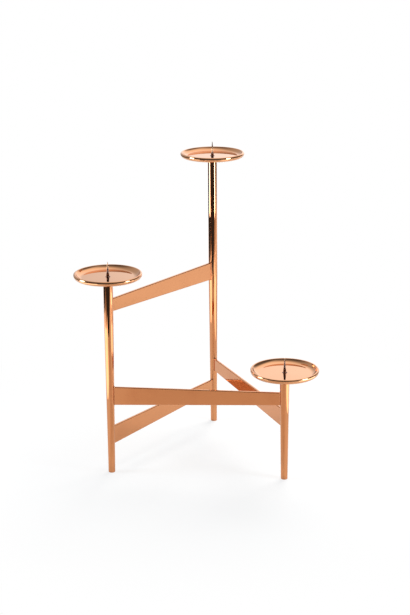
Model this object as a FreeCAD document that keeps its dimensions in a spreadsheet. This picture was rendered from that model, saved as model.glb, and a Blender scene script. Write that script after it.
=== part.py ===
import FreeCAD, Part
import Sketcher
import math
import os

doc = FreeCAD.newDocument("CandleHolder")

# Driving sizes, in millimetres
SIZES = {
    # Layout: posts stand on the corners of an equal-sided triangle
    "post_spacing": 206,
    "tall_height": 350,
    "middle_height": 240,
    "short_height": 130,
    # Posts: round rod drawn down to a slim foot
    "rod_diameter": 11.2,
    "foot_diameter": 8.0,
    "taper_length": 200,
    "neck_length": 8,
    "foot_chamfer": 0.6,
    "rod_top_chamfer": 0.4,
    # Bars: one tapered flat blank, used at four heights
    "bar_wide_end": 22.5,
    "bar_narrow_end": 15.5,
    "bar_thickness": 3.0,
    "bar_edge_round": 0.8,
    "upper_bar_drop": 26,
    "front_bar_drop": 23,
    "rear_bar_drop": 44.5,
    "lower_bar_rise": 57,
    # Brazed seams
    "braze_gap": 0.16,
    "braze_leg": 0.8,
    "braze_seat": 0.07,
    # Dishes: turned, with a flat floor, a hollow curved wall and a full round rim
    "dish_diameter": 80,
    "dish_height": 6.0,
    "dish_sheet": 1.5,
    "dish_wall_run": 2.9,
    "dish_bend_round": 8.5,
    "dish_heel_round": 4.2,
    "lip_width": 2.4,
    "lip_round": 1.6,
    "lip_inner_round": 0.6,
    # Prickets: spike, collar, flush countersunk head and shank in one piece
    "spike_height": 18.0,
    "spike_diameter": 3.6,
    "spike_tip_diameter": 0.6,
    "collar_diameter": 4.8,
    "collar_height": 0.8,
    "head_overhang": 1.2,
    "head_land": 0.3,
    "head_clearance": 0.05,
    "shank_diameter": 4.0,
    "shank_length": 14.0,
    "shank_clearance": 0.05,
    "shank_chamfer": 0.5,
    "shank_end_gap": 2.0,
}

sheet = doc.addObject("Spreadsheet::Sheet", "Sizes")
for row, (alias, number) in enumerate(SIZES.items(), start=1):
    sheet.set("A%d" % row, alias)
    sheet.set("B%d" % row, "%g" % number)
    sheet.setAlias("B%d" % row, alias)
doc.recompute()

# Expressions shared by several pieces
HALF_GAP = "Sizes.post_spacing / 2"
HALF_DEPTH = "Sizes.post_spacing * sqrt(3) / 4"
ROD_RADIUS = "Sizes.rod_diameter / 2"
FOOT_RADIUS = "Sizes.foot_diameter / 2"
SHANK_RADIUS = "Sizes.shank_diameter / 2"
SHANK_HOLE_RADIUS = "Sizes.shank_diameter / 2 + Sizes.shank_clearance"
HEAD_RADIUS = "Sizes.shank_diameter / 2 + Sizes.head_overhang"
DISH_RADIUS = "Sizes.dish_diameter / 2"
LIP_INSIDE = "Sizes.dish_diameter / 2 - Sizes.lip_width"
FLOOR_CORNER = "Sizes.dish_diameter / 2 - Sizes.lip_width - Sizes.dish_wall_run"
DISH_DEPTH = "(Sizes.dish_height - Sizes.dish_sheet)"
DISH_WALL = "sqrt(Sizes.dish_wall_run ^ 2 + %s ^ 2)" % DISH_DEPTH
DRILL_POINT = "(%s) / sqrt(3)" % SHANK_HOLE_RADIUS

UPRIGHT = FreeCAD.Vector(0, 0, 1)

# Points closer than this count as touching
TOUCH = 1e-4

# Post name: place in plan
POSTS = {
    "tall": ("0", HALF_DEPTH),
    "middle": ("-" + HALF_GAP, "-" + HALF_DEPTH),
    "short": (HALF_GAP, "-" + HALF_DEPTH),
}

# Bar name: post at its wide end, post at its narrow end, height of its level top edge
BARS = {
    "upper": ("tall", "middle", "Sizes.middle_height - Sizes.upper_bar_drop"),
    "front": ("middle", "short", "Sizes.short_height - Sizes.front_bar_drop"),
    "rear": ("short", "tall", "Sizes.short_height - Sizes.rear_bar_drop"),
    "lower": ("middle", "tall", "Sizes.lower_bar_rise"),
}


def value(expression):
    """Number that an expression of sheet sizes gives now."""
    return float(sheet.evalExpression(expression))


def plan(post):
    """Place of a post in plan."""
    x, y = POSTS[post]
    return FreeCAD.Vector(value(x), value(y), 0)


def heading(run):
    """Direction in plan, in degrees."""
    return math.degrees(math.atan2(run.y, run.x))


def outward(post):
    """Turn that points the joint line of a turned piece away from the bars."""
    middle = (plan("tall") + plan("middle") + plan("short")) / 3
    return heading(plan(post) - middle)


def new_body(label):
    body = doc.addObject("PartDesign::Body", label)
    body.Label = label
    return body


def place(body, post, height, turn):
    """Stand a body on a post's axis at a height, turned about the vertical."""
    body.Placement = FreeCAD.Placement(FreeCAD.Vector(), FreeCAD.Rotation(UPRIGHT, turn))
    for axis, expression in zip("xyz", (*POSTS[post], height)):
        if expression != "0":
            body.setExpression("Placement.Base." + axis, expression)


def outline(body, name, corners, shift=None):
    """Closed outline in the body's upright XZ plane; a corner is a pair of size expressions."""
    sketch = body.newObject("Sketcher::SketchObject", name)
    plane = [feature for feature in body.Origin.OriginFeatures if feature.Role == "XZ_Plane"][0]
    sketch.AttachmentSupport = [(plane, "")]
    sketch.MapMode = "FlatFace"
    if shift:
        sketch.setExpression("AttachmentOffset.Base.x", shift)
    points = [FreeCAD.Vector(value(x), value(y), 0) for x, y in corners]
    count = len(points)
    for i in range(count):
        sketch.addGeometry(Part.LineSegment(points[i], points[(i + 1) % count]), False)
    for i in range(count):
        sketch.addConstraint(Sketcher.Constraint("Coincident", i, 2, (i + 1) % count, 1))
    for i, (x, y) in enumerate(corners):
        for kind, axis, expression in (("DistanceX", -2, x), ("DistanceY", -1, y)):
            if expression == "0":
                sketch.addConstraint(Sketcher.Constraint("PointOnObject", i, 1, axis))
                continue
            index = sketch.addConstraint(Sketcher.Constraint(kind, -1, 1, i, 1, value(expression)))
            label = "corner%d%s" % (i, kind[-1])
            sketch.renameConstraint(index, label)
            sketch.setExpression("Constraints." + label, expression)
    return sketch


def turned(body, kind, name, sketch):
    """Revolution or Groove of a sketch about its own upright axis."""
    feature = body.newObject("PartDesign::" + kind, name)
    feature.Profile = sketch
    feature.ReferenceAxis = (sketch, ["V_Axis"])
    feature.Angle = 360
    doc.recompute()
    return feature


def ring(feature, radius, height):
    """Names of the level round edges of a turned piece at a radius and height."""
    names = []
    for i, edge in enumerate(feature.Shape.Edges, start=1):
        curve = edge.Curve
        if not isinstance(curve, Part.Circle):
            continue
        if abs(curve.Radius - value(radius)) < TOUCH and abs(curve.Center.z - value(height)) < TOUCH:
            names.append("Edge%d" % i)
    return names


def rounded(body, name, base, edges, radius):
    fillet = body.newObject("PartDesign::Fillet", name)
    fillet.Base = (base, edges)
    fillet.setExpression("Radius", radius)
    doc.recompute()
    return fillet


def taper_end(post):
    """Height where a post's taper reaches the full rod; a short post keeps a straight neck."""
    return "min(Sizes.taper_length; Sizes.%s_height - Sizes.neck_length)" % post


def rod_outline(post, gap):
    """Outside of a post from the foot's chamfer up, stood off by a gap."""
    height = "Sizes.%s_height" % post
    return [
        ("0", "Sizes.foot_chamfer"),
        (FOOT_RADIUS + gap, "Sizes.foot_chamfer"),
        (ROD_RADIUS + gap, taper_end(post)),
        (ROD_RADIUS + gap, height),
        ("0", height),
    ]


def make_post(post):
    """Tapered rod with a flat foot and a blind hole for the pricket in its top."""
    height = "Sizes.%s_height" % post
    hole_end = height + " - Sizes.shank_length - Sizes.shank_end_gap"
    body = new_body(post + "_post")
    sketch = outline(body, post + "_post_outline", [
        ("0", "0"),
        (FOOT_RADIUS + " - Sizes.foot_chamfer", "0"),
        (FOOT_RADIUS, "Sizes.foot_chamfer"),
        (ROD_RADIUS, taper_end(post)),
        (ROD_RADIUS, height + " - Sizes.rod_top_chamfer"),
        (ROD_RADIUS + " - Sizes.rod_top_chamfer", height),
        (SHANK_HOLE_RADIUS, height),
        (SHANK_HOLE_RADIUS, hole_end),
        ("0", hole_end + " - " + DRILL_POINT),
    ])
    turned(body, "Revolution", post + "_post_rod", sketch)
    place(body, post, "0", outward(post))
    return body


def make_bar(bar):
    """Tapered flat bar with a level top edge, its ends coped to the two posts."""
    start, end, top = BARS[bar]
    body = new_body(bar + "_bar")
    sketch = outline(body, bar + "_bar_outline", [
        ("0", top + " - Sizes.bar_wide_end"),
        ("Sizes.post_spacing", top + " - Sizes.bar_narrow_end"),
        ("Sizes.post_spacing", top),
        ("0", top),
    ])
    pad = body.newObject("PartDesign::Pad", bar + "_bar_blank")
    pad.Profile = sketch
    pad.SideType = "Symmetric"
    pad.setExpression("Length", "Sizes.bar_thickness")
    doc.recompute()
    long_edges = [
        "Edge%d" % i for i, edge in enumerate(pad.Shape.Edges, start=1)
        if edge.Length > value(HALF_GAP)
    ]
    radius = "min(Sizes.bar_edge_round; Sizes.bar_thickness * 0.45)"
    blank = rounded(body, bar + "_bar_rounds", pad, long_edges, radius)
    for post, shift in ((start, None), (end, "Sizes.post_spacing")):
        before = body.Shape.Volume
        cope = outline(body, "%s_bar_%s_cope" % (bar, post), rod_outline(post, " + Sizes.braze_gap"), shift)
        turned(body, "Groove", "%s_bar_%s_end" % (bar, post), cope)
        if body.Shape.Volume > before - 1:
            raise RuntimeError("%s bar: the end at the %s post was not coped" % (bar, post))
    place(body, start, "0", heading(plan(end) - plan(start)))
    doc.recompute()
    return body, blank


def make_dish(post):
    """Shallow dish with a flat floor, hollow curved wall, round rim and countersunk centre hole."""
    body = new_body(post + "_dish")
    sketch = outline(body, post + "_dish_outline", [
        (SHANK_HOLE_RADIUS, "0"),
        (DISH_RADIUS, "0"),
        (DISH_RADIUS, "Sizes.dish_height"),
        (LIP_INSIDE, "Sizes.dish_height"),
        (FLOOR_CORNER, "Sizes.dish_sheet"),
        (HEAD_RADIUS + " + Sizes.head_clearance", "Sizes.dish_sheet"),
        (SHANK_HOLE_RADIUS, "Sizes.head_land"),
    ])
    # Each round is limited by the wall that it runs out on
    rounds = (
        ("lip_inside", LIP_INSIDE, "Sizes.dish_height", "min(Sizes.lip_inner_round; Sizes.lip_width * 0.26)"),
        ("lip_outside", DISH_RADIUS, "Sizes.dish_height",
         "min(Sizes.lip_round; Sizes.lip_width * 0.68; Sizes.dish_height * 0.27)"),
        ("bend", FLOOR_CORNER, "Sizes.dish_sheet",
         "min(Sizes.dish_bend_round; 0.9 * {0} * {1} / ({0} - Sizes.dish_wall_run))".format(DISH_WALL, DISH_DEPTH)),
        ("heel", DISH_RADIUS, "0", "min(Sizes.dish_heel_round; Sizes.dish_height * 0.71)"),
    )
    shape = turned(body, "Revolution", post + "_dish_blank", sketch)
    for name, radius, height, limit in rounds:
        shape = rounded(body, "%s_dish_%s" % (post, name), shape, ring(shape, radius, height), limit)
    place(body, post, "Sizes.%s_height" % post, outward(post))
    return body


def make_pricket(post):
    """Candle spike with a collar, a flush countersunk head and a shank into the post."""
    floor = "Sizes.dish_sheet"
    collar_top = floor + " + Sizes.collar_height"
    tip = floor + " + Sizes.spike_height"
    body = new_body(post + "_pricket")
    sketch = outline(body, post + "_pricket_outline", [
        ("0", "-Sizes.shank_length"),
        (SHANK_RADIUS + " - Sizes.shank_chamfer", "-Sizes.shank_length"),
        (SHANK_RADIUS, "Sizes.shank_chamfer - Sizes.shank_length"),
        (SHANK_RADIUS, "Sizes.head_land"),
        (HEAD_RADIUS, floor),
        ("Sizes.collar_diameter / 2", floor),
        ("Sizes.collar_diameter / 2", collar_top),
        ("Sizes.spike_diameter / 2", collar_top),
        ("Sizes.spike_tip_diameter / 2", tip + " - Sizes.spike_tip_diameter / 2"),
        ("0", tip),
    ])
    turned(body, "Revolution", post + "_pricket_turned", sketch)
    place(body, post, "Sizes.%s_height" % post, outward(post))
    return body


def make_seam(bar, post):
    """Braze filler at one end of a bar: the film in the cope and the bead around its mouth."""
    rod = bodies[post + "_post"].Shape
    foot = bodies[post + "_post"].Placement.Base
    coped = bodies[bar + "_bar"].Shape
    blank = blanks[bar].Shape.copy()
    blank.Placement = bodies[bar + "_bar"].Placement.multiply(blank.Placement)
    near = Part.makeCylinder(value(HALF_GAP), value("Sizes.%s_height" % post), foot)
    blank = blank.common(near)
    joint = rod.fuse(blank)
    # The bead runs along the edges where the bar's skin meets the rod's
    rod_reach = max(value(ROD_RADIUS), value(FOOT_RADIUS)) + TOUCH
    mouth = []
    for edge in joint.Edges:
        middle = edge.valueAt((edge.FirstParameter + edge.LastParameter) / 2)
        off_axis = FreeCAD.Vector(middle.x - foot.x, middle.y - foot.y, 0).Length
        if off_axis < rod_reach and blank.isInside(middle, TOUCH, True):
            mouth.append(edge)
    filled = joint.makeChamfer(value("Sizes.braze_leg"), mouth)
    corners = [FreeCAD.Vector(value(x), 0, value(z)) for x, z in rod_outline(post, " + Sizes.braze_seat")]
    profile = Part.Face(Part.makePolygon(corners + corners[:1]))
    seat = profile.revolve(FreeCAD.Vector(), UPRIGHT, 360)
    seat.Placement = bodies[post + "_post"].Placement
    filler = filled.cut(seat).cut(coped).common(near)
    label = "%s_bar_%s_braze" % (bar, post)
    seam = doc.addObject("Part::Feature", label)
    seam.Label = label
    start = mouth[0].CenterOfMass
    seam.Shape = min(filler.Solids, key=lambda solid: solid.CenterOfMass.distanceToPoint(start))
    return seam


bodies = {}
blanks = {}
for post in POSTS:
    for make, kind in ((make_post, "post"), (make_dish, "dish"), (make_pricket, "pricket")):
        bodies["%s_%s" % (post, kind)] = make(post)
for bar in BARS:
    bodies[bar + "_bar"], blanks[bar] = make_bar(bar)
doc.recompute()
for bar, (start, end, _) in BARS.items():
    for post in (start, end):
        bodies["%s_bar_%s_braze" % (bar, post)] = make_seam(bar, post)
doc.recompute()

# Every object must be sound before any file is written
for item in doc.Objects:
    if "Invalid" in item.State or "Error" in item.State:
        raise RuntimeError("%s: %s" % (item.Label, item.State))
for label, item in bodies.items():
    if item.Shape.isNull() or not item.Shape.isValid() or len(item.Shape.Solids) != 1:
        raise RuntimeError("%s is not one sound solid" % label)

os.makedirs("parts", exist_ok=True)
for label, item in bodies.items():
    item.Shape.exportStep("parts/%s.step" % item.Label)
    box = item.Shape.optimalBoundingBox()
    print("%-26s volume %10.2f  z %7.2f to %7.2f" % (label, item.Shape.Volume, box.ZMin, box.ZMax))
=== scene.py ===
import math

import bmesh
import bpy
from bpy.props import FloatProperty, FloatVectorProperty, IntProperty, PointerProperty
from mathutils import Matrix, Vector


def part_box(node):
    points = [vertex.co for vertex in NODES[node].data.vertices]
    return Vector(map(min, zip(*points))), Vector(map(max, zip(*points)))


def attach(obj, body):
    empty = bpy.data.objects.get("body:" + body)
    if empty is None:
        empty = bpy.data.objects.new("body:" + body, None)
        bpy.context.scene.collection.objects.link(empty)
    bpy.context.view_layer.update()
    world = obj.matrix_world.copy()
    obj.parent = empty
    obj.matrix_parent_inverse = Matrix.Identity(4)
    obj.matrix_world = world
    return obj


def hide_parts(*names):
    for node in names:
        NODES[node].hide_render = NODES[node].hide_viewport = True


bl_info = {
    "name": "Copper Candle Holder",
    "version": (1, 0, 0),
    "blender": (4, 5, 0),
    "location": "View3D > Sidebar > Candle Holder",
    "description": "Dresses a three-post copper candle holder and sets up its studio",
    "category": "Object",
}

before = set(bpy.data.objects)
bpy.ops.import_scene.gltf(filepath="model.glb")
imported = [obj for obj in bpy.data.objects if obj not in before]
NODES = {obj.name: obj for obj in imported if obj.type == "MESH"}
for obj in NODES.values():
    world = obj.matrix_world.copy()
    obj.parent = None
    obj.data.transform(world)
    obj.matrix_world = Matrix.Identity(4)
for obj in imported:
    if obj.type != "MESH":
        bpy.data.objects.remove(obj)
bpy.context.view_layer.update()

POSTS = ("tall", "middle", "short")

# Bar name: post at its wide end, post at its narrow end
BARS = {
    "upper": ("tall", "middle"),
    "front": ("middle", "short"),
    "rear": ("short", "tall"),
    "lower": ("middle", "tall"),
}

# Post name: shares of its spike's height where the painted dark reflection begins to thin out and where it
# ends
DARK_REFLECTION_SHARES = {"tall": (0.15, 0.4), "middle": (0.45, 0.8), "short": (0.8, 1.0)}

# Attribute that keeps a piece's own coordinates for its material
OWN_PLACE = "own_place"

# Slot: fineness of the polishing lines along each axis, and wear, which is least on a mirror finish
FINISHES = {
    "post": ((420.0, 420.0, 12.0), 0.4),
    "bar": ((10.0, 300.0, 260.0), 1.0),
    "dish": ((160.0, 160.0, 160.0), 0.5),
    "pricket": ((300.0, 300.0, 1500.0), 1.0),
    "braze": ((300.0, 300.0, 300.0), 3.0),
}

# Noise of the metal: scale, detail and roughness
CLOUDS = (22.0, 4.0, 0.6)
TOUCHES = (70.0, 3.0, 0.55)
LINES = (1.0, 2.0, 0.5)

# Levels of the noise between which tarnish and handling set in
TARNISHED = (0.45, 0.75)
HANDLED = (0.42, 0.72)

# What the polishing lines add to the roughness
LINE_HAZE = 0.03

# Bumps of the metal: strength, depth in metres, and the shares of lines and touches in them
BUMP_STRENGTH = 0.1
BUMP_DEPTH = 0.0001
BUMP_LINES = 0.35
BUMP_TOUCHES = 0.65

# Mesh points closer than this, in metres, are merged
TOUCHING = 1e-7
SEAM_TOUCHING = 1e-6

# Fineness of the meshes, and the angle from which an edge is sharp
ARC_STEP = math.radians(6)
LEAST_ARC_STEPS = 3
BAR_EDGE_SEGMENTS = 8
ROOM_SEGMENTS = 64
SHARP_ANGLE = math.radians(40)

# Bevel profile of a quarter circle
ROUND_PROFILE = 0.5

# Changes across the floor and the room: span in metres, level before it and level after it
FLOOR_SHADE = ((0.05, 0.42), 0.72, 1.0)
FLOOR_FRONT = ((-0.25, -0.05), 1.0, 0.0)
ROOM_LEFT = ((-1.3, 0.13), 0.4, 1.0)
ROOM_RIGHT = ((0.9, 1.8), 1.0, 0.1)
ROOM_FRONT = ((-1.55, 1.15), 0.08, 1.0)
ROOM_BELOW = ((-0.15, 0.0), 0.0, 1.0)

# Painted bands of light at both sides of the floor, seen only in the metal: X midway between them, and
# changes over its squared distance
BANDS_MIDDLE = 0.04
BANDS_START = ((0.01, 0.05), 0.0, 1.0)
BANDS_END = ((0.16, 0.3), 1.0, 0.0)

# Lamp name: place, point that it faces, width and height, in metres
LAMPS = {
    "lamp_left": ((-0.83, -0.18, 0.34), (0.0, 0.3, 0.34), (0.27, 0.55)),
    "lamp_right": ((0.81, -0.28, 0.34), (0.0, 0.6, 0.34), (0.27, 0.55)),
    "lamp_low_left": ((-0.32, -0.19, 0.052), (-0.103, -0.089, 0.052), (0.40, 0.10)),
    "lamp_low_right": ((0.31, -0.125, 0.052), (0.103, -0.125, 0.052), (0.29, 0.10)),
    "lamp_top": ((0.40, 0.85, 1.05), (0.25, 0.50, 0.0), (0.8, 0.8)),
}

# Width of the camera's sensor, in millimetres
SENSOR_WIDTH = 36.0

WHITE = (1.0, 1.0, 1.0, 1.0)


# Sizes and colours a user would change

def length(name, description, millimetres):
    """Length property; the default is given in millimetres."""
    return FloatProperty(name=name, description=description, default=millimetres / 1000,
                         unit="LENGTH", precision=5)


def amount(name, description, default, high=1.0):
    return FloatProperty(name=name, description=description, default=default, min=0.0, max=high)


def power(name, description, default):
    """Power of each square metre of a lamp, in watts."""
    return FloatProperty(name=name, description=description, default=default)


def angle(name, description, degrees):
    return FloatProperty(name=name, description=description, default=math.radians(degrees), subtype="ANGLE")


def colour(name, description, default):
    return FloatVectorProperty(name=name, description=description, default=default, size=3,
                               subtype="COLOR", min=0.0, max=1.0)


def place(name, description, default):
    return FloatVectorProperty(name=name, description=description, default=default, size=3,
                               subtype="XYZ", unit="LENGTH")


class HolderSizes(bpy.types.PropertyGroup):
    """Sizes of the dressed pieces that the solids' boxes do not give."""

    rod_diameter: length("Rod", "Post diameter above its taper", 11.2)
    foot_diameter: length("Foot", "Post diameter at the foot", 8.0)
    taper_length: length("Taper", "Height over which a post tapers", 200)
    neck_length: length("Neck", "Straight length under the dish of a short post", 8)
    foot_round: length("Foot rounding", "Rounding of a post's foot", 0.6)
    bar_wide_end: length("Bar wide end", "Height of a bar at its wide end", 22.5)
    bar_narrow_end: length("Bar narrow end", "Height of a bar at its narrow end", 15.5)
    bar_thickness: length("Bar thickness", "Thickness of a bar", 3.0)
    bar_round: length("Bar edge", "Rounding of a bar's long edges", 0.8)
    bar_bury: length("Bar end", "How far a bar's end goes into the post's skin", 0.6)
    dish_diameter: length("Dish", "Diameter of a dish", 80)
    sheet: length("Dish sheet", "Thickness of a dish's floor", 1.5)
    wall_run: length("Dish wall", "Width of the slanting wall inside a dish", 2.9)
    bend: length("Dish bend", "Rounding between floor and wall inside a dish", 8.5)
    heel_round: length("Dish heel", "Rounding between a dish's base and its rim", 4.2)
    lip_width: length("Lip width", "Thickness of a dish's wall at its lip", 2.4)
    lip_round: length("Lip rounding", "Rounding of a dish's lip outside", 1.6)
    lip_inner_round: length("Lip inner rounding", "Rounding of a dish's lip inside", 0.6)
    head_diameter: length("Pricket head", "Diameter of a pricket's flush head", 6.4)
    head_slant: length("Head slant", "How much a pricket's head narrows inside the dish's floor", 1.0)
    collar_diameter: length("Collar", "Diameter of a pricket's collar", 4.8)
    collar_height: length("Collar height", "Height of a pricket's collar", 0.8)
    spike_diameter: length("Spike", "Diameter of a spike at its base", 3.6)
    tip_diameter: length("Tip", "Diameter of a spike's tip", 0.6)
    steps: IntProperty(name="Steps", description="Steps of a full turn", default=96, min=24, max=192)


class CopperFinish(bpy.types.PropertyGroup):
    """Colours and polish of the metal."""

    clean: colour("Clean copper", "Freshly polished copper of posts and bars", (0.645, 0.28, 0.125))
    rose: colour("Rose copper", "Paler copper of the dishes and spike tips", (0.69, 0.345, 0.175))
    aged: colour("Aged copper", "Thin tarnish between polishings", (0.53, 0.195, 0.085))
    # Painted dark reflection on the lower part of the candle spikes
    spike: colour("Painted dark reflection", "Darkened lower part of the candle spikes", (0.17, 0.09, 0.065))
    braze: colour("Braze filler", "Dull brazing filler", (0.50, 0.20, 0.09))
    polish: amount("Roughness", "Roughness of the best polished areas", 0.05)
    haze: amount("Haze", "Extra roughness of handled areas", 0.06)
    tarnish: amount("Tarnish", "Share of the aged colour in the darkest areas", 0.35)


class StudioSetup(bpy.types.PropertyGroup):
    """Camera, floor and lights."""

    target: place("Target", "Point the camera looks at", (0.00083, 0.00063, 0.33362))
    azimuth: angle("Azimuth", "Camera's turn about the holder", 6.68)
    elevation: angle("Elevation", "Camera's height above the horizon", 12.22)
    roll: angle("Roll", "Camera's tilt about its own axis", -0.39)
    distance: length("Distance", "Camera to target", 1774.6)
    lens: FloatProperty(name="Lens", description="Focal length in millimetres", default=86.64,
                        min=10, max=300)
    shift: FloatProperty(name="Shift", description="Lens shift up or down", default=-0.2, min=-1, max=1)
    floor_left: length("Floor left", "Distance of the table's left edge from the holder", 740)
    floor_right: length("Floor right", "Distance of the table's right edge from the holder", 1200)
    floor_front: length("Floor front", "Distance of the table's front edge from the holder", 600)
    floor_back: length("Floor back", "Distance of the table's back edge from the holder", 1800)
    floor_colour: colour("Floor", "Pale table top", (0.82, 0.79, 0.76))
    # Painted warm shade on the front of the table, seen only in the metal
    front_painted_shade: colour("Painted warm shade", "Front of the table as the metal shows it", (1.0, 0.74, 0.54))
    floor_shine: amount("Floor in the metal", "Least share of the floor's white that reflections show", 0.4)
    room_radius: length("Room radius", "Radius of the room round the table", 2600)
    room_dark: colour("Dark room", "Front of the room, seen only in the metal", (0.045, 0.05, 0.06))
    room_pale: colour("Pale room", "Back and top of the room, seen only in the metal", (1.0, 1.0, 1.0))
    room_glow: amount("Room glow", "Strength of the pale part of the room", 1.45, 4.0)
    side_colour: colour("Side lamp colour", "Cool daylight of the side lamps", (0.7, 0.85, 1.0))
    side_power: power("Side lamps", "Power of each square metre of the side lamps", 44.0)
    low_power: power("Low lamps", "Power of each square metre of the low lamps", 6.0)
    top_power: power("Top lamp", "Power of each square metre of the lamp overhead", 36.0)
    world_light: amount("World light", "Plain light from all round", 0.12, 2.0)


# Shader nodes

class Wire:
    """An output socket that arithmetic can be written on; without a socket it only adds nodes."""

    def __init__(self, tree, socket=None):
        self.tree = tree
        self.socket = socket

    def node(self, kind, settings=None, inputs=None, output=0):
        """Adds a node: its settings first, then values or links of its sockets."""
        made = self.tree.nodes.new(kind)
        for key, value in (settings or {}).items():
            setattr(made, key, value)
        for key, value in (inputs or {}).items():
            if isinstance(value, Wire):
                self.tree.links.new(value.socket, made.inputs[key])
            else:
                made.inputs[key].default_value = value
        return Wire(self.tree, made.outputs[output])

    def maths(self, operation, first, second):
        return self.node("ShaderNodeMath", {"operation": operation}, {0: first, 1: second})

    def __add__(self, other):
        return self.maths("ADD", self, other)

    def __sub__(self, other):
        return self.maths("SUBTRACT", self, other)

    def __rsub__(self, other):
        return self.maths("SUBTRACT", other, self)

    def __mul__(self, other):
        return self.maths("MULTIPLY", self, other)

    def along(self, axis):
        """One coordinate of a vector."""
        return self.node("ShaderNodeSeparateXYZ", None, {0: self}, axis)

    def between(self, span, before=0.0, after=1.0):
        """One level before the span, another after it, smooth between them."""
        low, high = span
        return self.node("ShaderNodeMapRange", {"interpolation_type": "SMOOTHSTEP"}, {
            "Value": self,
            "From Min": low,
            "From Max": high,
            "To Min": before,
            "To Max": after,
        })

    def noise(self, scale, detail, roughness):
        """Noise at these coordinates."""
        return self.node("ShaderNodeTexNoise", None, {
            "Vector": self,
            "Scale": scale,
            "Detail": detail,
            "Roughness": roughness,
        })

    def mix(self, first, second):
        """Colour between two colours, with this value as the factor.

        Inputs 6 and 7 and output 2 are the node's colour sockets."""
        return self.node("ShaderNodeMix", {"data_type": "RGBA"}, {0: self, 6: first, 7: second}, 2)

    def blend(self, first, second):
        """Surface between two surfaces, with this value as the factor."""
        return self.node("ShaderNodeMixShader", None, {0: self, 1: first, 2: second})

    def emission(self, tint, strength=1.0):
        return self.node("ShaderNodeEmission", None, {"Color": tint, "Strength": strength})


def opaque(rgb):
    return (*rgb, 1.0)


def new_material(name):
    """Material with an empty tree, its node maker and its output's surface socket."""
    material = bpy.data.materials.new(name)
    material.use_nodes = True
    tree = material.node_tree
    tree.nodes.clear()
    output = tree.nodes.new("ShaderNodeOutputMaterial")
    return material, Wire(tree), output.inputs["Surface"]


def background_rays(make, straight=1.0, mirrored=1.0):
    """One level for the camera and through glass, one for reflections, 0 for light that falls on things."""
    camera, glossy, through = (make.node("ShaderNodeLightPath", output="Is %s Ray" % kind)
                               for kind in ("Camera", "Glossy", "Transmission"))
    return (camera + through) * straight + glossy * mirrored


def polished_copper(name, slot, clean, aged, dark_reflection_span=None):
    """Polished metal with handled areas, thin tarnish and fine polishing lines.

    The last argument is a pair of heights for a painted dark reflection: all has the aged colour below the
    first and the clean colour above the second."""
    finish = bpy.context.scene.copper_finish
    grain, wear = FINISHES[slot]
    material, make, surface = new_material(name)
    spot = make.node("ShaderNodeAttribute", {"attribute_name": OWN_PLACE}, output="Vector")
    stretched = make.node("ShaderNodeVectorMath", {"operation": "MULTIPLY"}, {0: spot, 1: grain})
    lines = stretched.noise(*LINES)
    touches = spot.noise(*TOUCHES)
    # On a spike the aged colour is a painted dark reflection, darker towards its foot; elsewhere it is thin
    # tarnish in clouds
    if dark_reflection_span:
        tarnish = spot.along("Z").between(dark_reflection_span, 1.0, 0.0)
    else:
        tarnish = spot.noise(*CLOUDS).between(TARNISHED, 0.0, finish.tarnish)
    handled = touches.between(HANDLED, 0.0, finish.haze)
    bump = make.node("ShaderNodeBump", None, {
        "Strength": BUMP_STRENGTH * wear,
        "Distance": BUMP_DEPTH,
        "Height": lines * BUMP_LINES + touches * BUMP_TOUCHES,
    })
    skin = make.node("ShaderNodeBsdfPrincipled", None, {
        "Base Color": tarnish.mix(opaque(clean), opaque(aged)),
        "Metallic": 1.0,
        "Roughness": (handled + lines * LINE_HAZE + finish.polish) * wear,
        "Normal": bump,
    })
    make.tree.links.new(skin.socket, surface)
    return material


# Mesh helpers

def axis_of(post):
    """Foot of a post's axis, in plan."""
    low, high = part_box(post + "_post")
    return Vector(((low.x + high.x) / 2, (low.y + high.y) / 2, 0))


def stand(post, height=0.0):
    """Move onto a post's axis, at a height."""
    return Matrix.Translation(axis_of(post) + Vector((0, 0, height)))


def top_of(node):
    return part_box(node)[1].z


def taper_end(sizes, post):
    """Height where a post's taper reaches the full rod; a short post keeps a straight neck."""
    return min(sizes.taper_length, top_of(post + "_post") - sizes.neck_length)


def rod_radius(sizes, post, height):
    """Radius of a post's rod at a height."""
    share = min(max(height / taper_end(sizes, post), 0.0), 1.0)
    return (sizes.foot_diameter + (sizes.rod_diameter - sizes.foot_diameter) * share) / 2


def turned(profile, steps):
    """Closed solid of revolution about the upright axis from (radius, height) corners."""
    shape = bmesh.new()
    corners = [shape.verts.new((radius, 0, height)) for radius, height in profile]
    edges = [shape.edges.new(pair) for pair in zip(corners, corners[1:])]
    bmesh.ops.spin(shape, geom=corners + edges, cent=(0, 0, 0), axis=(0, 0, 1), angle=math.tau,
                   steps=steps, use_merge=True)
    bmesh.ops.remove_doubles(shape, verts=shape.verts, dist=TOUCHING)
    bmesh.ops.recalc_face_normals(shape, faces=shape.faces)
    return shape


def rounded(corners):
    """Outline with round corners; a corner is (radius from the axis, height, rounding)."""
    points = []
    for i, (x, z, rounding) in enumerate(corners):
        here = Vector((x, z))
        if not rounding:
            points.append(here)
            continue
        before = (Vector(corners[i - 1][:2]) - here).normalized()
        after = (Vector(corners[i + 1][:2]) - here).normalized()
        half = before.angle(after) / 2
        centre = here + (before + after).normalized() * (rounding / math.sin(half))
        start = (here + before * (rounding / math.tan(half)) - centre).normalized()
        end = (here + after * (rounding / math.tan(half)) - centre).normalized()
        steps = max(LEAST_ARC_STEPS, round(start.angle(end) / ARC_STEP))
        points += [centre + start.slerp(end, step / steps) * rounding for step in range(steps + 1)]
    return points


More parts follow.
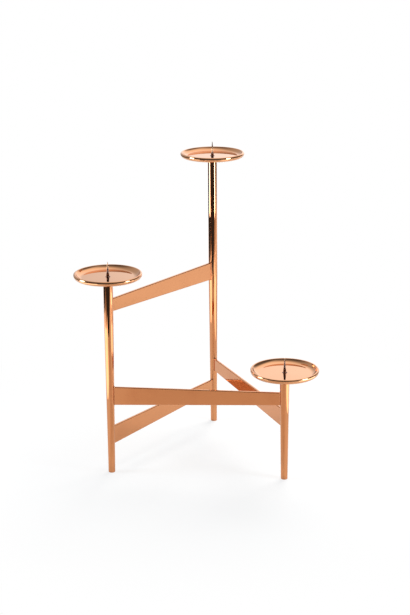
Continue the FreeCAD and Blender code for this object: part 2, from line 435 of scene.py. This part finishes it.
def finish_piece(name, shape, material, matrix=None):
    """Makes the object of a shape, keeps its own coordinates for the material and puts it in place."""
    for face in shape.faces:
        face.smooth = True
    for edge in shape.edges:
        if len(edge.link_faces) == 2 and edge.calc_face_angle() > SHARP_ANGLE:
            edge.smooth = False
    mesh = bpy.data.meshes.new(name)
    shape.to_mesh(mesh)
    shape.free()
    own = mesh.attributes.new(OWN_PLACE, "FLOAT_VECTOR", "POINT")
    for vert in mesh.vertices:
        own.data[vert.index].vector = vert.co
    if matrix:
        mesh.transform(matrix)
    mesh.materials.append(material)
    piece = bpy.data.objects.new("dressed_" + name, mesh)
    bpy.context.scene.collection.objects.link(piece)
    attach(piece, "root")
    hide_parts(name)


# Operators, one for each group of like pieces

class CANDLEHOLDER_OT_posts(bpy.types.Operator):
    """Turn the three tapered posts"""

    bl_idname = "candleholder.posts"
    bl_label = "Posts"

    def execute(self, context):
        sizes = context.scene.holder_sizes
        finish = context.scene.copper_finish
        copper = polished_copper("post_copper", "post", finish.clean, finish.aged)
        foot = sizes.foot_diameter / 2
        rod = sizes.rod_diameter / 2
        # Corners this far from a rounding keep the faces beside it flat
        hold = 2 * sizes.foot_round
        for post in POSTS:
            top = top_of(post + "_post")
            shape = turned(rounded([
                (0, 0, 0),
                (foot - hold, 0, 0),
                (foot, 0, sizes.foot_round),
                (rod_radius(sizes, post, hold), hold, 0),
                (rod, taper_end(sizes, post), 0),
                (rod, top - hold, 0),
                (rod, top, sizes.foot_round / 2),
                (rod - hold, top, 0),
                (0, top, 0),
            ]), sizes.steps)
            finish_piece(post + "_post", shape, copper, stand(post))
        return {"FINISHED"}


class CANDLEHOLDER_OT_bars(bpy.types.Operator):
    """Cut the four tapered flat bars and set them between the posts"""

    bl_idname = "candleholder.bars"
    bl_label = "Bars"

    def execute(self, context):
        sizes = context.scene.holder_sizes
        finish = context.scene.copper_finish
        copper = polished_copper("bar_copper", "bar", finish.clean, finish.aged)
        for bar, (start, end) in BARS.items():
            run = axis_of(end) - axis_of(start)
            shape = self.cut_bar(sizes, start, end, top_of(bar + "_bar"), run.length)
            turn = Matrix.Rotation(math.atan2(run.y, run.x), 4, "Z")
            finish_piece(bar + "_bar", shape, copper, stand(start) @ turn)
        return {"FINISHED"}

    def cut_bar(self, sizes, start, end, top, span):
        """Bar along X with a level top edge and rounded long edges.

        It runs from just inside the skin of one post to just inside that of the other."""
        near = rod_radius(sizes, start, top - sizes.bar_wide_end) - sizes.bar_bury
        far = span - rod_radius(sizes, end, top - sizes.bar_narrow_end) + sizes.bar_bury
        shape = bmesh.new()
        bmesh.ops.create_cube(shape, size=1.0)
        for vert in shape.verts:
            along = near if vert.co.x < 0 else far
            depth = sizes.bar_wide_end + (sizes.bar_narrow_end - sizes.bar_wide_end) * (along / span)
            height = top if vert.co.z > 0 else top - depth
            vert.co = (along, vert.co.y * sizes.bar_thickness, height)
        long_edges = [edge for edge in shape.edges if edge.calc_length() > span / 2]
        bmesh.ops.bevel(shape, geom=long_edges, offset=sizes.bar_round, offset_type="OFFSET",
                        segments=BAR_EDGE_SEGMENTS, profile=ROUND_PROFILE, affect="EDGES", material=-1)
        # The large faces get a narrow border, which keeps their shading flat
        flats = [face for face in shape.faces if face.calc_area() > span * sizes.bar_thickness / 2]
        bmesh.ops.inset_individual(shape, faces=flats, thickness=sizes.bar_round / 2)
        bmesh.ops.recalc_face_normals(shape, faces=shape.faces)
        return shape


class CANDLEHOLDER_OT_dishes(bpy.types.Operator):
    """Turn the three shallow dishes with their hollow walls and round lips"""

    bl_idname = "candleholder.dishes"
    bl_label = "Dishes"

    def execute(self, context):
        sizes = context.scene.holder_sizes
        finish = context.scene.copper_finish
        copper = polished_copper("dish_copper", "dish", finish.rose, finish.clean)
        edge = sizes.dish_diameter / 2
        inner = edge - sizes.lip_width
        corner = inner - sizes.wall_run
        head = sizes.head_diameter / 2
        # Corners this far from a rounding keep the faces beside it flat
        hold = sizes.sheet / 2
        for post in POSTS:
            low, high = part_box(post + "_dish")
            deep = high.z - low.z
            reach = sizes.bend * math.tan(math.atan2(deep - sizes.sheet, sizes.wall_run) / 2)
            shape = turned(rounded([
                (head, sizes.sheet, 0),
                (head, 0, 0),
                (edge - sizes.heel_round - hold, 0, 0),
                (edge, 0, sizes.heel_round),
                (edge, deep, sizes.lip_round),
                (inner, deep, sizes.lip_inner_round),
                (corner, sizes.sheet, sizes.bend),
                (corner - reach - hold, sizes.sheet, 0),
                (head, sizes.sheet, 0),
            ]), sizes.steps * 2)
            finish_piece(post + "_dish", shape, copper, stand(post, low.z))
        return {"FINISHED"}


class CANDLEHOLDER_OT_prickets(bpy.types.Operator):
    """Turn the three candle spikes"""

    bl_idname = "candleholder.prickets"
    bl_label = "Prickets"

    def execute(self, context):
        sizes = context.scene.holder_sizes
        finish = context.scene.copper_finish
        head = sizes.head_diameter / 2
        collar = sizes.collar_diameter / 2
        spike = sizes.spike_diameter / 2
        tip = sizes.tip_diameter / 2
        for post in POSTS:
            low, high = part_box(post + "_pricket")
            seat = top_of(post + "_post") + sizes.sheet - low.z
            tall = high.z - low.z
            shoulder = seat + sizes.collar_height
            # Each spike is painted darker towards its foot, a painted reflection that thins out between
            # these heights
            dark_reflection_heights = [shoulder + (tall - shoulder) * share for share in DARK_REFLECTION_SHARES[post]]
            copper = polished_copper(post + "_pricket_copper", "pricket", finish.rose, finish.spike, dark_reflection_heights)
            shape = turned(rounded([
                (0, seat - sizes.sheet, 0),
                (head - sizes.head_slant, seat - sizes.sheet, 0),
                (head, seat, 0),
                (collar, seat, 0),
                (collar, shoulder, sizes.collar_height / 3),
                (spike, shoulder, 0),
                (tip, tall - tip, 0),
                (0, tall, 0),
            ]), sizes.steps // 2)
            finish_piece(post + "_pricket", shape, copper, stand(post, low.z))
        return {"FINISHED"}


class CANDLEHOLDER_OT_seams(bpy.types.Operator):
    """Smooth the brazed seams where the bars meet the posts"""

    bl_idname = "candleholder.seams"
    bl_label = "Brazed seams"

    def execute(self, context):
        finish = context.scene.copper_finish
        filler = polished_copper("braze_filler", "braze", finish.braze, finish.aged)
        for bar, posts in BARS.items():
            for post in posts:
                name = "%s_bar_%s_braze" % (bar, post)
                shape = bmesh.new()
                shape.from_mesh(NODES[name].data)
                bmesh.ops.remove_doubles(shape, verts=shape.verts, dist=SEAM_TOUCHING)
                finish_piece(name, shape, filler)
        return {"FINISHED"}


class CANDLEHOLDER_OT_stage(bpy.types.Operator):
    """Lay the pale floor, close the room, hang the soft lamps and set the camera"""

    bl_idname = "candleholder.stage"
    bl_label = "Stage"

    def execute(self, context):
        studio = context.scene.studio_setup
        self.lay_floor(studio)
        self.close_room(studio)
        self.hang_lamps(studio)
        self.light_world(context.scene, studio)
        self.aim_camera(context.scene, studio)
        context.scene.view_settings.view_transform = "Standard"
        return {"FINISHED"}

    def add_stage(self, name, shape, material):
        mesh = bpy.data.meshes.new(name)
        shape.to_mesh(mesh)
        shape.free()
        mesh.materials.append(material)
        item = bpy.data.objects.new(name, mesh)
        bpy.context.scene.collection.objects.link(item)
        return item

    def lay_floor(self, studio):
        left, right = -studio.floor_left, studio.floor_right
        front, back = -studio.floor_front, studio.floor_back
        corners = [(left, front, 0), (right, front, 0), (right, back, 0), (left, back, 0)]
        shape = bmesh.new()
        shape.faces.new([shape.verts.new(corner) for corner in corners])
        self.add_stage("floor", shape, self.pale_floor(studio))

    def pale_floor(self, studio):
        """Pale top, lit and shaded, and lifted to white for the camera and partly in the metal.

        The metal shows painted light on it at both sides of the holder, and a painted warm shade in front."""
        material, make, surface = new_material("pale_floor")
        spot = make.node("ShaderNodeTexCoord", output="Object")
        away = make.node("ShaderNodeVectorMath", {"operation": "LENGTH"}, {0: spot}, "Value")
        aside = spot.along("X") - BANDS_MIDDLE
        spread = aside * aside
        # Painted bands of light at both sides of the holder, seen only in the metal
        side = spread.between(*BANDS_START) * spread.between(*BANDS_END)
        shine = side * (1 - studio.floor_shine) + studio.floor_shine
        lift = background_rays(make, away.between(*FLOOR_SHADE), shine)
        mirrored = make.node("ShaderNodeLightPath", output="Is Glossy Ray")
        # Painted warm shade in front of the holder, seen only in the metal
        front = mirrored * (1 - side) * spot.along("Y").between(*FLOOR_FRONT)
        lit = make.node("ShaderNodeBsdfDiffuse", None, {"Color": opaque(studio.floor_colour)})
        white = make.emission(front.mix(WHITE, opaque(studio.front_painted_shade)))
        make.tree.links.new(lift.blend(lit, white).socket, surface)
        return material

    def close_room(self, studio):
        """Room that only the metal sees."""
        shape = bmesh.new()
        bmesh.ops.create_uvsphere(shape, u_segments=ROOM_SEGMENTS, v_segments=ROOM_SEGMENTS // 2,
                                  radius=studio.room_radius)
        room = self.add_stage("room", shape, self.room_glow(studio))
        room.visible_camera = False
        room.visible_diffuse = False
        room.visible_shadow = False

    def room_glow(self, studio):
        """Dark in front, at the right and below the table, pale behind and overhead."""
        material, make, surface = new_material("room")
        spot = make.node("ShaderNodeTexCoord", output="Object")
        right, back, up = (spot.along(axis) for axis in "XYZ")
        sides = right.between(*ROOM_LEFT) * right.between(*ROOM_RIGHT)
        glow = sides * back.between(*ROOM_FRONT) * up.between(*ROOM_BELOW)
        dark = make.emission(opaque(studio.room_dark))
        pale = make.emission(opaque(studio.room_pale), studio.room_glow)
        make.tree.links.new(glow.blend(dark, pale).socket, surface)
        return material

    def hang_lamps(self, studio):
        """A tall and a low lamp at each side, and a wide one over the back that lights the floor."""
        for name in ("lamp_left", "lamp_right"):
            side = self.add_lamp(name, studio.side_power)
            side.data.color = studio.side_colour
        for name in ("lamp_low_left", "lamp_low_right"):
            self.add_lamp(name, studio.low_power)
        top = self.add_lamp("lamp_top", studio.top_power)
        top.visible_glossy = False

    def add_lamp(self, name, strength):
        location, aim, size = (Vector(values) for values in LAMPS[name])
        data = bpy.data.lights.new(name, "AREA")
        data.shape = "RECTANGLE"
        data.size, data.size_y = size
        data.energy = strength * data.size * data.size_y
        lamp = bpy.data.objects.new(name, data)
        bpy.context.scene.collection.objects.link(lamp)
        lamp.location = location
        lamp.rotation_euler = (aim - location).to_track_quat("-Z", "Y").to_euler()
        lamp.visible_camera = False
        return lamp

    def light_world(self, scene, studio):
        """White to the camera and in the metal, a plain even light on everything else."""
        world = bpy.data.worlds.new("plain_studio")
        world.use_nodes = True
        tree = world.node_tree
        tree.nodes.clear()
        make = Wire(tree)
        plain, white = (make.node("ShaderNodeBackground", None, {"Color": WHITE, "Strength": strength})
                        for strength in (studio.world_light, 1.0))
        output = tree.nodes.new("ShaderNodeOutputWorld")
        tree.links.new(background_rays(make).blend(plain, white).socket, output.inputs["Surface"])
        scene.world = world

    def aim_camera(self, scene, studio):
        """Camera at the photograph's viewing angle."""
        level = math.cos(studio.elevation)
        back = Vector((
            math.sin(studio.azimuth) * level,
            -math.cos(studio.azimuth) * level,
            math.sin(studio.elevation),
        ))
        right = Vector((0, 0, 1)).cross(back).normalized()
        up = back.cross(right)
        turn = Matrix((right, up, back)).transposed() @ Matrix.Rotation(studio.roll, 3, "Z")
        data = bpy.data.cameras.new("camera")
        data.lens = studio.lens
        data.sensor_width = SENSOR_WIDTH
        data.shift_y = studio.shift
        camera = bpy.data.objects.new("camera", data)
        scene.collection.objects.link(camera)
        spot = Vector(studio.target) + back * studio.distance
        camera.matrix_world = Matrix.Translation(spot) @ turn.to_4x4()
        scene.camera = camera


class CANDLEHOLDER_PT_sidebar(bpy.types.Panel):
    """Candle holder steps and settings"""

    bl_idname = "CANDLEHOLDER_PT_sidebar"
    bl_label = "Candle Holder"
    bl_space_type = "VIEW_3D"
    bl_region_type = "UI"
    bl_category = "Candle Holder"

    def draw(self, context):
        for step in STEPS:
            self.layout.operator(step.bl_idname)
        for name in GROUPS:
            group = getattr(context.scene, name)
            box = self.layout.box()
            for key in group.__annotations__:
                box.prop(group, key)


STEPS = (
    CANDLEHOLDER_OT_posts,
    CANDLEHOLDER_OT_bars,
    CANDLEHOLDER_OT_dishes,
    CANDLEHOLDER_OT_prickets,
    CANDLEHOLDER_OT_seams,
    CANDLEHOLDER_OT_stage,
)
GROUPS = {"holder_sizes": HolderSizes, "copper_finish": CopperFinish, "studio_setup": StudioSetup}


def register():
    for group in GROUPS.values():
        bpy.utils.register_class(group)
    for name, group in GROUPS.items():
        setattr(bpy.types.Scene, name, PointerProperty(type=group))
    for step in STEPS:
        bpy.utils.register_class(step)
    bpy.utils.register_class(CANDLEHOLDER_PT_sidebar)


def unregister():
    bpy.utils.unregister_class(CANDLEHOLDER_PT_sidebar)
    for step in reversed(STEPS):
        bpy.utils.unregister_class(step)
    for name in GROUPS:
        delattr(bpy.types.Scene, name)
    for group in GROUPS.values():
        bpy.utils.unregister_class(group)


def main():
    register()
    bpy.ops.candleholder.posts()
    bpy.ops.candleholder.bars()
    bpy.ops.candleholder.dishes()
    bpy.ops.candleholder.prickets()
    bpy.ops.candleholder.seams()
    bpy.ops.candleholder.stage()


if __name__ == "__main__":
    main()
